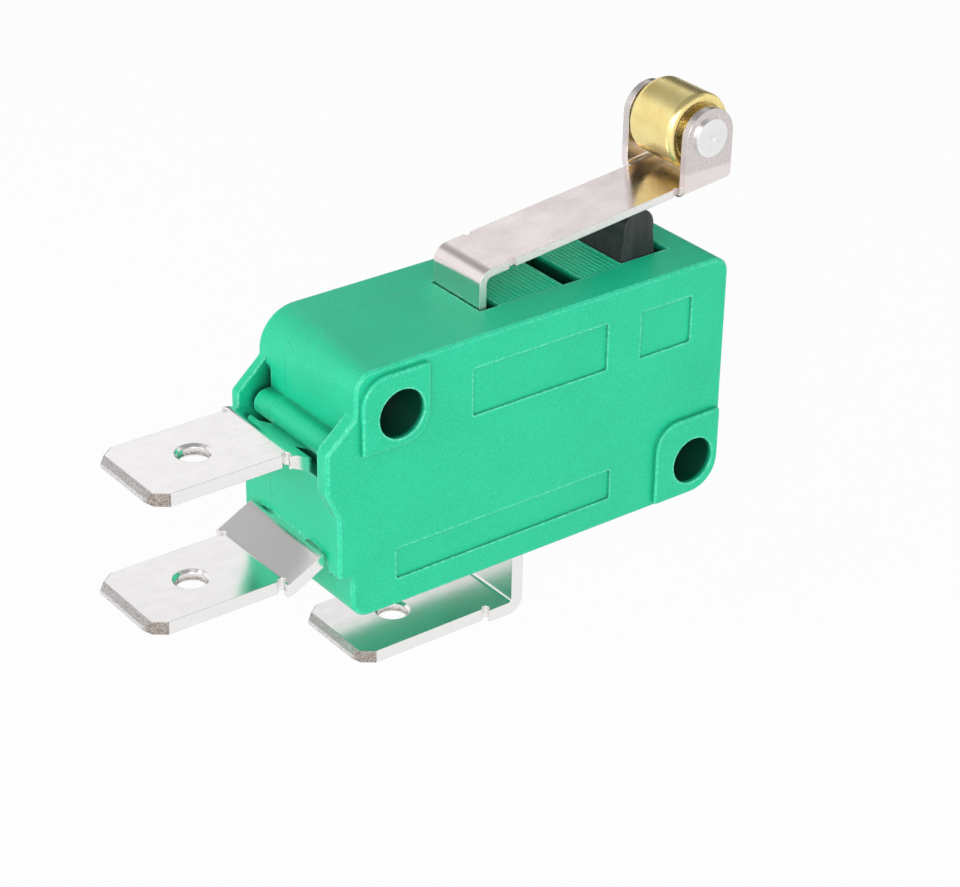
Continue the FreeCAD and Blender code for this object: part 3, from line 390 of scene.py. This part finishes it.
@dataclass(frozen=True)
class CasePlastic:
    """Green moulded case: spark-eroded grain, flow clouds, a pale parting line, painted glints, pale edges
    that are partly worn and partly a painted highlight, and painted shade in crevices, holes and openings.
    """

    holes: tuple[Bore, ...]
    wells: Wells
    front_mm: float
    colour: Colour = (0.002, 0.51, 0.265)
    light: Colour = (0.006, 0.61, 0.325)
    # Pale green: painted glints, edges partly worn and partly a painted highlight, and the parting line
    pale: Colour = (0.16, 0.86, 0.6)
    # Dark green for the painted shade in crevices, holes and openings
    deep: Colour = (0.0003, 0.022, 0.010)
    rough: Band = (0.33, 0.5)
    grain: Grain = Grain(0.12, rough=0.7)
    peel: Grain = Grain(0.45)
    cloud: Grain = Grain(4.0)
    flow_cloud: float = 0.4
    flow_grain: float = 1.1
    flow_cut: Band = (0.45, 1.05)
    # Pale specks: painted glints on the grain
    spark: Grain = Grain(0.11, detail=1.0)
    spark_cut: Band = (0.6, 0.74)
    spark_share: float = 0.22
    # Pale edges: partly worn, partly a painted highlight
    highlight_and_wear: Grain = Grain(0.2)
    highlight_and_wear_cut: Band = (0.42, 0.62)
    highlight_and_wear_reach_mm: float = 0.15
    highlight_and_wear_open: Band = (0.8, 0.96)
    highlight_and_wear_least: float = 0.22
    highlight_and_wear_more: float = 0.6
    parting_mm: float = 2.15
    parting_clear_mm: Band = (0.1, 0.3)
    seam_half_mm: float = 0.05
    seam_grain: Grain = Grain(0.3, detail=1.0)
    seam_cut: Band = (0.35, 0.65)
    seam_share: float = 0.25
    # Painted shade in crevices, found by how open the surface is
    crevice_shade_reach_mm: float = 2.4
    crevice_shade_open: Band = (0.15, 0.8)
    crevice_shade_share: float = 0.88
    # Painted shade inside the mounting holes
    bore_wall_mm: Band = (0.005, 0.02)
    bore_shade_depth_mm: float = 0.45
    bore_shade_share: float = 0.93
    # Painted shade inside the openings in the top
    well_soft_mm: float = 0.1
    well_shade_depth_mm: Band = (0.55, 0.05)
    well_floor_soft_mm: float = 1.0
    well_shade_share: float = 0.9
    height_grain: float = 0.8
    height_peel: float = 0.7
    height_seam: float = 0.3
    depth_mm: float = 0.022
    strength: float = 0.7
    edge_round_mm: float = 0.1

    def off_seam(self, g: Graph) -> Shade:
        """Distance in millimetres from the parting plane."""
        return abs(g.along(Axis.Y) - self.parting_mm)

    def seam(self, g: Graph) -> Shade:
        """1 on the parting line, 0 beside it."""
        return self.off_seam(g).fade(0.0, self.seam_half_mm)

    def flow(self, g: Graph) -> Shade:
        """Share of the lighter green, in clouds broken up by the grain."""
        flow = g.noise(self.cloud) * self.flow_cloud + g.noise(self.grain) * self.flow_grain
        return flow.ramp(*self.flow_cut)

    def painted_glints(self, g: Graph) -> Shade:
        """Share of pale specks in the grain, painted as glints of light."""
        return g.noise(self.spark).ramp(*self.spark_cut) * self.spark_share

    def worn(self, g: Graph) -> Shade:
        """Pale edges, partly worn and partly a painted highlight where they catch the light; kept off the
        parting line.

        Args:
            g: graph of the material.

        Returns:
            Share of the pale green, partly worn and partly a painted highlight, patchy along each edge.
        """
        edge = g.openness(self.highlight_and_wear_reach_mm, edges=True).fade(*self.highlight_and_wear_open)
        edge = edge * self.off_seam(g).ramp(*self.parting_clear_mm)
        return edge * (self.highlight_and_wear_least + self.highlight_and_wear_more * g.noise(self.highlight_and_wear).ramp(*self.highlight_and_wear_cut))

    def pale_seam_line(self, g: Graph) -> Shade:
        """Share of pale along the parting line, patchy."""
        return self.seam(g) * g.noise(self.seam_grain).ramp(*self.seam_cut) * self.seam_share

    def crevices(self, g: Graph) -> Shade:
        """Share of painted shade in crevices, where little light reaches."""
        return g.openness(self.crevice_shade_reach_mm).fade(*self.crevice_shade_open) * self.crevice_shade_share

    def bores(self, g: Graph) -> Shade:
        """Painted shade inside the round holes, growing from the front face inwards.

        Args:
            g: graph of the material.

        Returns:
            Share of the deep green that paints the shade.
        """
        near, far = self.bore_wall_mm
        inside: Optional[Shade] = None
        for hole in self.holes:
            bore = g.ring(hole.x_mm, hole.z_mm).fade(hole.radius_mm + near, hole.radius_mm + far)
            inside = bore if inside is None else inside.larger(bore)
        return inside * (g.along(Axis.Y) - self.front_mm).ramp(0.0, self.bore_shade_depth_mm) * self.bore_shade_share

    def openings(self, g: Graph) -> Shade:
        """Painted shade below the top, inside the openings for the lever and the plunger.

        Args:
            g: graph of the material.

        Returns:
            Share of the deep green that paints the shade.
        """
        x, across, z = g.along(Axis.X), abs(g.along(Axis.Y)), g.along(Axis.Z)
        wells, soft = self.wells, self.well_soft_mm
        deep, shallow = self.well_shade_depth_mm
        inside = x.ramp(wells.start_mm - soft, wells.start_mm) * x.fade(wells.end_mm, wells.end_mm + soft)
        inside = inside * across.fade(wells.half_mm, wells.half_mm + soft)
        inside = inside * z.fade(wells.top_mm - deep, wells.top_mm - shallow)
        return inside * z.ramp(wells.floor_mm, wells.floor_mm + self.well_floor_soft_mm) * self.well_shade_share

    def build(self, name: str) -> bpy.types.Material:
        """Makes the material.

        Args:
            name: name of the material.

        Returns:
            The finished material.
        """
        g = Graph(name)
        tint = g.blend(self.flow(g), self.colour, self.light)
        # Pale marks: painted glints, edges partly worn and partly a painted highlight, and the parting line
        for share in (self.painted_glints(g), self.worn(g), self.pale_seam_line(g)):
            tint = g.blend(share, tint, self.pale)
        # Painted shade: crevices, holes and openings darkened towards the deep green
        for share in (self.crevices(g), self.bores(g), self.openings(g)):
            tint = g.blend(share, tint, self.deep)
        grain = g.noise(self.grain)
        height = grain * self.height_grain + g.noise(self.peel) * self.height_peel
        height = height - self.seam(g) * self.height_seam
        normal = g.bump(height, self.depth_mm, self.edge_round_mm, self.strength)
        g.set(Base_Color=tint, Roughness=grain.ramp(*MIDDLE, *self.rough), Normal=normal)
        return g.material


@dataclass(frozen=True)
class BlackPlastic:
    """Black moulded plunger with a fine matt skin."""

    colour: Colour = (0.014, 0.0145, 0.0165)
    worn: Colour = (0.042, 0.043, 0.048)
    rough: Band = (0.38, 0.56)
    grain: Grain = Grain(0.1, rough=0.7)
    streak: Grain = Grain(0.5, stretch=(1.0, 1.0, 5.0))
    worn_grain: float = 0.6
    worn_streak: float = 0.5
    worn_cut: Band = (0.35, 0.75)
    depth_mm: float = 0.02
    edge_round_mm: float = 0.1

    def build(self, name: str) -> bpy.types.Material:
        """Makes the material.

        Args:
            name: name of the material.

        Returns:
            The finished material.
        """
        g = Graph(name)
        grain = g.noise(self.grain)
        worn = (grain * self.worn_grain + g.noise(self.streak) * self.worn_streak).ramp(*self.worn_cut)
        tint = g.blend(worn, self.colour, self.worn)
        normal = g.bump(grain, self.depth_mm, self.edge_round_mm)
        g.set(Base_Color=tint, Roughness=grain.ramp(*MIDDLE, *self.rough), Normal=normal)
        return g.material


@dataclass(frozen=True)
class TinnedBlade:
    """Bright tin plate of a blade: faint mottling, sheared speckle on tip, cut corners and hole wall."""

    tip_mm: float
    middle_mm: float
    plate: Colour = (0.93, 0.912, 0.91)
    dull: Colour = (0.87, 0.85, 0.845)
    grey: Colour = (0.46, 0.44, 0.43)
    brown: Colour = (0.27, 0.215, 0.175)
    rough: Band = (0.16, 0.185)
    torn_rough: float = 0.22
    half_wide_mm: float = 3.175
    corner_run_mm: float = 1.15
    corner_rise_mm: float = 0.85
    corner_soft_mm: Band = (-0.05, -0.015)
    corner_tip: Band = (0.2, 0.4)
    corner_tip_share: float = 0.6
    corner_least: float = 0.6
    bevel_mm: float = 0.42
    bevel_soft_mm: float = 0.04
    bevel_off_middle_mm: Band = (0.12, 0.16)
    bevel_least: float = 0.4
    end_mm: Band = (0.01, 0.03)
    hole_from_tip_mm: float = 4.6
    hole_radius_mm: float = 0.9
    hole_soft_mm: Band = (0.01, 0.04)
    hole_clean_mm: Band = (-0.1, 0.1)
    hole_clean_share: float = 0.2
    hole_least: float = 0.35
    speckle: Grain = Grain(0.1, rough=0.8)
    speckle_cut: Band = (0.42, 0.6)
    mottle: Grain = Grain(0.7, 3.0, 0.6, (1.6, 1.0, 1.0))
    line: Grain = Grain(0.05, stretch=(40.0, 1.0, 1.0))
    pit: Grain = Grain(0.2, detail=1.0)
    pit_cut: Band = (0.7, 0.78)
    pit_share: float = 0.2
    dull_cut: Band = (0.35, 0.7)
    dull_share: float = 0.3
    end_share: float = 0.7
    line_height: float = 0.08
    speckle_height: float = 0.1
    torn_height: float = 1.5
    depth_mm: float = 0.004
    edge_round_mm: float = 0.07

    def corner(self, g: Graph) -> Shade:
        """The slanted faces of the cut corners, judged by the distance across their line.

        Args:
            g: graph of the material.

        Returns:
            1 on those faces, less where they meet the tip's bevels.
        """
        run, rise = self.corner_run_mm, self.corner_rise_mm
        from_tip = g.along(Axis.X) - self.tip_mm
        inwards = abs(g.along(Axis.Y)) - (self.half_wide_mm - rise)
        past = (inwards * run - from_tip * rise) * (1 / float(np.hypot(run, rise)))
        low, high = (share * self.bevel_mm for share in self.corner_tip)
        return past.ramp(*self.corner_soft_mm) * from_tip.ramp(low, high, self.corner_tip_share, 1.0)

    def bevel(self, g: Graph) -> Shade:
        """Both bevels of the tip, judged by the distance from the tip and from the middle of the sheet.

        Args:
            g: graph of the material.

        Returns:
            1 on the bevels.
        """
        from_tip = g.along(Axis.X) - self.tip_mm
        off_middle = abs(g.along(Axis.Z) - self.middle_mm)
        along = from_tip.fade(self.bevel_mm - self.bevel_soft_mm, self.bevel_mm)
        return along * off_middle.ramp(*self.bevel_off_middle_mm)

    def end(self, g: Graph) -> Shade:
        """1 on the end face of the tip."""
        return (g.along(Axis.X) - self.tip_mm).fade(*self.end_mm)

    def hole(self, g: Graph) -> Shade:
        """The wall of the blade's hole.

        Args:
            g: graph of the material.

        Returns:
            1 on the torn lower part of the wall, less on the clean upper part.
        """
        dx = g.along(Axis.X) - self.tip_mm - self.hole_from_tip_mm
        across = abs(g.along(Axis.Y))
        near, far = self.hole_soft_mm
        radius = (dx * dx + across * across).root()
        wall = radius.fade(self.hole_radius_mm + near, self.hole_radius_mm + far)
        return wall * (g.along(Axis.Z) - self.middle_mm).ramp(*self.hole_clean_mm, 1.0, self.hole_clean_share)

    def patchy(self, mask: Shade, speckle: Shade, least: float) -> Shade:
        """Breaks a mask up with speckle.

        Args:
            mask: where the sheared metal is.
            speckle: pattern of the torn grain.
            least: share of the mask that stays between the specks.

        Returns:
            The broken mask.
        """
        return mask * (least + (1.0 - least) * speckle)

    def build(self, name: str) -> bpy.types.Material:
        """Makes the material.

        Args:
            name: name of the material.

        Returns:
            The finished material.
        """
        g = Graph(name)
        speckle = g.noise(self.speckle).ramp(*self.speckle_cut)
        mottle = g.noise(self.mottle)
        corner, bevel, end, hole = self.corner(g), self.bevel(g), self.end(g), self.hole(g)
        dull = mottle.ramp(*self.dull_cut) * self.dull_share + speckle * self.dull_share
        tint = g.blend(dull, self.plate, self.dull)
        tint = g.blend(g.noise(self.pit).ramp(*self.pit_cut) * self.pit_share, tint, self.grey)
        tint = g.blend(self.patchy(bevel, speckle, self.bevel_least), tint, self.grey)
        tint = g.blend(end * speckle * self.end_share, tint, self.grey)
        tint = g.blend(self.patchy(corner, speckle, self.corner_least), tint, self.brown)
        tint = g.blend(self.patchy(hole, speckle, self.hole_least), tint, self.brown)
        torn = corner.larger(bevel).larger(end).larger(hole)
        rough = mottle.ramp(*MIDDLE, *self.rough) + torn * self.torn_rough
        height = speckle * (self.speckle_height + torn * self.torn_height)
        height = height + g.noise(self.line) * self.line_height
        normal = g.bump(height, self.depth_mm, self.edge_round_mm)
        g.set(Base_Color=tint, Roughness=rough, Metallic=1.0, Normal=normal)
        return g.material


@dataclass(frozen=True)
class RolledSteel:
    """Polished strip with fine rolling lines and faint stains.

    A strip with edge_mm has bright torn edges that far from its middle, and one given a height for its ears
    has their outer faces rougher and darker from that height upwards, the darker colour a painted shade for
    their darker reflection.
    """

    colour: Colour = (0.88, 0.805, 0.795)
    stain: Colour = (0.78, 0.7, 0.685)
    burr: Colour = (0.95, 0.94, 0.93)
    # Darker colour painted on the ears' outer faces as shade
    ear_shade: Colour = (0.57, 0.54, 0.535)
    rough: float = 0.16
    rough_less: float = 0.02
    rough_more: float = 0.05
    lines: Axis = Axis.X
    line_mm: float = 0.06
    line_stretch: float = 30.0
    cloud: Grain = Grain(2.4)
    stain_cloud: float = 0.4
    stain_line: float = 0.6
    stain_cut: Band = (0.35, 0.7)
    stain_share: float = 0.6
    speckle: Grain = Grain(0.11, rough=0.8)
    fleck_cut: Band = (0.54, 0.72)
    fleck: float = 0.3
    fleck_rough_cut: Band = (0.5, 0.75)
    fleck_rough: float = 0.06
    edge_mm: float = 0.0
    edge_soft_mm: Band = (0.015, 0.035)
    edge_cut: Band = (0.4, 0.6)
    edge_torn: float = 0.6
    edge_rough: float = 0.2
    edge_height: float = 3.0
    # The ears' painted shade: height it starts from, soft edge, patchiness, and extra roughness there
    ear_shade_from_mm: float = 0.0
    ear_shade_soft_mm: float = 0.3
    ear_shade_across_mm: Band = (2.3, 2.5)
    ear_shade_cut: Band = (0.4, 0.65)
    ear_shade_least: float = 0.35
    ear_shade_more: float = 0.5
    ear_rough: float = 0.1
    line_height: float = 0.5
    speckle_height: float = 0.3
    depth_mm: float = 0.004
    edge_round_mm: float = 0.06

    def rolling(self, g: Graph) -> Shade:
        """Fine lines along the rolling direction.

        Args:
            g: graph of the material.

        Returns:
            Noise that is stretched that way.
        """
        stretch = [1.0, 1.0, 1.0]
        stretch[self.lines.value] = self.line_stretch
        return g.noise(Grain(self.line_mm, stretch=tuple(stretch)))

    def ears(self, g: Graph) -> Shade:
        """1 on the outer faces of the ears."""
        risen = g.along(Axis.Z).ramp(self.ear_shade_from_mm - self.ear_shade_soft_mm, self.ear_shade_from_mm)
        return risen * abs(g.along(Axis.Y)).ramp(*self.ear_shade_across_mm)

    def build(self, name: str) -> bpy.types.Material:
        """Makes the material.

        Args:
            name: name of the material.

        Returns:
            The finished material.
        """
        g = Graph(name)
        line = self.rolling(g)
        cloud = g.noise(self.cloud)
        speckle = g.noise(self.speckle)
        stain = (cloud * self.stain_cloud + line * self.stain_line).ramp(*self.stain_cut) * self.stain_share
        tint = g.blend(stain, self.colour, self.stain)
        tint = g.blend(speckle.ramp(*self.fleck_cut) * self.fleck, tint, self.stain)
        rough = cloud.ramp(*MIDDLE, self.rough - self.rough_less, self.rough + self.rough_more)
        rough = rough + speckle.ramp(*self.fleck_rough_cut) * self.fleck_rough
        height = line * self.line_height + speckle * self.speckle_height
        # Painted shade on the ears' outer faces, patchy, for their darker reflection; rougher there too
        if self.ear_shade_from_mm:
            ears = self.ears(g)
            dull = self.ear_shade_least + self.ear_shade_more * speckle.ramp(*self.ear_shade_cut)
            tint = g.blend(ears * dull, tint, self.ear_shade)
            rough = rough + ears * self.ear_rough
        if self.edge_mm:
            edge = abs(abs(g.along(Axis.Y)) - self.edge_mm).fade(*self.edge_soft_mm)
            torn = speckle.ramp(*self.edge_cut)
            tint = g.blend(edge * (1.0 - self.edge_torn * torn), tint, self.burr)
            rough = rough + edge * self.edge_rough
            height = height + edge * torn * self.edge_height
        normal = g.bump(height, self.depth_mm, self.edge_round_mm)
        g.set(Base_Color=tint, Roughness=rough, Metallic=1.0, Normal=normal)
        return g.material


@dataclass(frozen=True)
class TurnedBrass:
    """Brass with fine turning marks round the roller's axis and a sandy bloom."""

    centre_x_mm: float
    centre_z_mm: float
    colour: Colour = (0.99, 0.84, 0.38)
    dark: Colour = (0.9, 0.71, 0.28)
    rough: Band = (0.22, 0.36)
    mark_mm: float = 0.09
    sand: Grain = Grain(0.12, rough=0.7)
    cloud: Grain = Grain(1.3)
    bloom_cloud: float = 0.6
    bloom_sand: float = 0.5
    bloom_cut: Band = (0.4, 0.75)
    mark_height: float = 0.3
    sand_height: float = 0.35
    depth_mm: float = 0.0014
    edge_round_mm: float = 0.08

    def marks(self, g: Graph) -> Shade:
        """Turning marks: the sine of the radius plus the place along the axis, once every mark_mm."""
        radius = g.ring(self.centre_x_mm, self.centre_z_mm)
        return ((radius + g.along(Axis.Y)) * (2 * np.pi / self.mark_mm)).sine()

    def build(self, name: str) -> bpy.types.Material:
        """Makes the material.

        Args:
            name: name of the material.

        Returns:
            The finished material.
        """
        g = Graph(name)
        sand = g.noise(self.sand)
        bloom = (g.noise(self.cloud) * self.bloom_cloud + sand * self.bloom_sand).ramp(*self.bloom_cut)
        tint = g.blend(bloom, self.colour, self.dark)
        height = self.marks(g) * self.mark_height + sand * self.sand_height
        normal = g.bump(height, self.depth_mm, self.edge_round_mm)
        g.set(Base_Color=tint, Roughness=sand.ramp(*MIDDLE, *self.rough), Metallic=1.0, Normal=normal)
        return g.material


def dress(finish: Finish, name: str, *nodes: str) -> None:
    """Gives CAD nodes one finish.

    Args:
        finish: finish whose build method makes the material.
        name: name of the material.
        nodes: CAD nodes that wear it.
    """
    material = finish.build(name)
    for node in nodes:
        carried = frame["nodes"][node]
        carried.data.materials.clear()
        carried.data.materials.append(material)
        log.info("%s wears %s", node, name)


@dataclass
class Case:
    """Two moulded halves; the openings in the top lie between the wells' start and end."""

    well_start_mm: float = 8.1
    well_end_mm: float = 22.2
    well_half_mm: float = 2.5
    well_floor_mm: float = -4.0

    def bores(self) -> tuple[Bore, ...]:
        """Reads the mounting holes from the record's mounts.

        Returns:
            One bore for each hole.
        """
        found = []
        for mount in frame["record"]["mounts"]:
            if mount["kind"] == "bore":
                x, _, z = (value / MM for value in mount["pos_m"])
                found.append(Bore(x, z, mount["dims"]["r_mm"]))
        return tuple(found)

    def build(self) -> None:
        """Dresses both halves."""
        front = float(span("case_body")[0][Axis.Y.value])
        top = float(span("case_cover")[1][Axis.Z.value])
        wells = Wells(self.well_start_mm, self.well_end_mm, self.well_half_mm, top, self.well_floor_mm)
        dress(CasePlastic(self.bores(), wells, front), "case_green", "case_body", "case_cover")


@dataclass
class Terminals:
    """Three tinned blades; the upper one carries its tab at the top of its box, the others at the foot."""

    strip_mm: float = 0.8

    def build(self) -> None:
        """Dresses each blade with a finish that knows its tip and its tab's middle height."""
        for node, tab_on_top in (("nc_terminal", True), ("no_terminal", False), ("com_terminal", False)):
            low, high = span(node)
            half = self.strip_mm / 2
            middle = high[Axis.Z.value] - half if tab_on_top else low[Axis.Z.value] + half
            dress(TinnedBlade(low[Axis.X.value], middle), node + "_tin", node)


@dataclass
class SnapMechanism:
    """Contacts, contact arm, trip lever and coil spring inside the case."""

    silver: Colour = (0.9, 0.89, 0.87)
    silver_dull: Colour = (0.78, 0.77, 0.74)
    copper: Colour = (0.86, 0.52, 0.36)
    copper_dull: Colour = (0.68, 0.38, 0.25)
    wire: Colour = (0.6, 0.6, 0.61)
    wire_dull: Colour = (0.42, 0.42, 0.44)

    def build(self) -> None:
        """Dresses the inner pieces."""
        silver = RolledSteel(self.silver, self.silver_dull, rough=0.26)
        dress(silver, "contact_silver", "nc_contact", "no_contact", "moving_contact")
        dress(RolledSteel(self.copper, self.copper_dull, rough=0.25), "arm_copper", "contact_arm")
        dress(RolledSteel(self.wire, self.wire_dull, rough=0.28), "spring_wire", "snap_spring")
        dress(RolledSteel(rough=0.2), "trip_steel", "trip_lever")


@dataclass
class Actuator:
    """Plunger, folded lever, pin and roller."""

    strip_half_mm: float = 2.24
    ear_start_mm: float = 8.2
    pin: Colour = (0.99, 0.99, 0.99)
    pin_dull: Colour = (0.72, 0.71, 0.7)

    def build(self) -> None:
        """Dresses the moving pieces outside the case."""
        low, high = span("roller_pin")
        x, _, z = (low + high) / 2
        dress(BlackPlastic(), "plunger_black", "plunger")
        # The lever's ears get painted shade from ear_start_mm upwards
        strip = RolledSteel(edge_mm=self.strip_half_mm, ear_shade_from_mm=self.ear_start_mm)
        dress(strip, "lever_steel", "lever_arm")
        pin = RolledSteel(self.pin, self.pin_dull, rough=0.3, lines=Axis.Y, fleck=0.9)
        dress(pin, "pin_bright", "roller_pin")
        dress(TurnedBrass(x, z), "roller_brass", "roller")


@dataclass
class Studio:
    """Camera, floor and light."""

    camera_mm: Place = (-77.74, -114.20, 73.02)
    right: Place = (0.79938, -0.60063, 0.01503)
    up: Place = (0.28291, 0.39836, 0.87251)
    back: Place = (-0.53004, -0.69322, 0.48837)
    focal_px: float = 2715.0
    width_px: float = 960.0
    sensor_mm: float = 36.0
    clip_m: Band = (0.01, 10.0)
    floor_mm: float = -26.0
    floor_half_m: float = 1.5
    floor_colour: Colour = (0.9, 0.9, 0.9)
    floor_rough: float = 0.9
    floor_white: float = 0.94
    floor_gloss: float = 0.7
    horizon_level: float = 1.0
    overhead_level: float = 0.35
    overhead_height: Band = (0.52, 0.72)
    far_side_across: Band = (0.47, 0.62)
    far_side_deep: Band = (0.1, 0.4)
    far_side_drop: float = 0.85
    lamps: tuple[Lamp, ...] = (
        Lamp("key", (-180.0, -230.0, 130.0), (200.0, 200.0), 0.46),
        Lamp("left", (-210.0, -10.0, 110.0), (150.0, 150.0), 0.14),
    )

    def camera(self) -> None:
        """Places the camera at the viewing angle of the photograph."""
        data = bpy.data.cameras.new("camera")
        data.sensor_width = self.sensor_mm
        data.lens = self.focal_px / self.width_px * self.sensor_mm
        data.clip_start, data.clip_end = self.clip_m
        item = bpy.data.objects.new("camera", data)
        rows = np.array([self.right, self.up, self.back]).T
        turn = Matrix(rows.tolist()).to_4x4()
        item.matrix_world = Matrix.Translation(Vector(self.camera_mm) * MM) @ turn
        bpy.context.collection.objects.link(item)
        bpy.context.scene.camera = item

    def light(self, lamp: Lamp) -> None:
        """Hangs a lamp and turns it to its aim.

        Args:
            lamp: the lamp's sizes.
        """
        data = bpy.data.lights.new(lamp.name, "AREA")
        data.shape = "RECTANGLE"
        data.size, data.size_y = (side * MM for side in lamp.size_mm)
        data.energy = lamp.watts
        item = bpy.data.objects.new(lamp.name, data)
        spot = Vector(lamp.place_mm) * MM
        item.location = spot
        item.rotation_mode = "QUATERNION"
        item.rotation_quaternion = (Vector(lamp.aim_mm) * MM - spot).to_track_quat("-Z", "Y")
        bpy.context.collection.objects.link(item)

    def floor(self) -> None:
        """Lays a pale level floor, which looks white to the camera and keeps a faint shadow."""
        half, z = self.floor_half_m, self.floor_mm * MM
        corners = [(-half, -half, z), (half, -half, z), (half, half, z), (-half, half, z)]
        mesh = bpy.data.meshes.new("floor")
        mesh.from_pydata(corners, [], [(0, 1, 2, 3)])
        item = bpy.data.objects.new("floor", mesh)
        g = Graph("floor_white")
        g.set(Base_Color=self.floor_colour, Roughness=self.floor_rough)
        rays = g.rays()
        glow = g.node("ShaderNodeEmission", {}, {"Color": (*WHITE, 1.0), "Strength": 1.0})
        seen = rays["Is Camera Ray"] + rays["Is Transmission Ray"]
        share = seen * self.floor_white + rays["Is Glossy Ray"] * self.floor_gloss
        own = Shade(g, g.shader.outputs[0])
        mixed = g.node("ShaderNodeMixShader", {}, {0: share, 1: own, 2: glow})
        g.tree.links.new(mixed.socket, g.tree.nodes["Material Output"].inputs["Surface"])
        mesh.materials.append(g.material)
        bpy.context.collection.objects.link(item)

    def sky(self) -> None:
        """White surroundings, darker overhead and on the far side; camera rays see plain white."""
        world = bpy.data.worlds.new("studio")
        bpy.context.scene.world = world
        world.use_nodes = True
        g = Graph("studio", world.node_tree)
        way = g.node("ShaderNodeTexCoord", {}, {}, "Generated")
        split = "ShaderNodeSeparateXYZ"
        across, deep, height = (g.node(split, {}, {"Vector": way}, axis.value) for axis in Axis)
        level = height.ramp(*self.overhead_height, self.horizon_level, self.overhead_level)
        far_side = across.ramp(*self.far_side_across) * deep.ramp(*self.far_side_deep)
        level = level * (1.0 - far_side * self.far_side_drop)
        camera = g.rays()["Is Camera Ray"]
        back = world.node_tree.nodes["Background"]
        back.inputs["Color"].default_value = (*WHITE, 1.0)
        strength = camera + (1.0 - camera) * level
        g.tree.links.new(strength.socket, back.inputs["Strength"])

    def build(self) -> None:
        """Makes the whole studio."""
        bpy.context.scene.view_settings.view_transform = "Standard"
        self.camera()
        self.floor()
        self.sky()
        for lamp in self.lamps:
            self.light(lamp)


def main() -> None:
    """Dresses the switch and sets up the studio."""
    for part in (Case(), Terminals(), SnapMechanism(), Actuator(), Studio()):
        part.build()


if __name__ == "__main__":
    main()
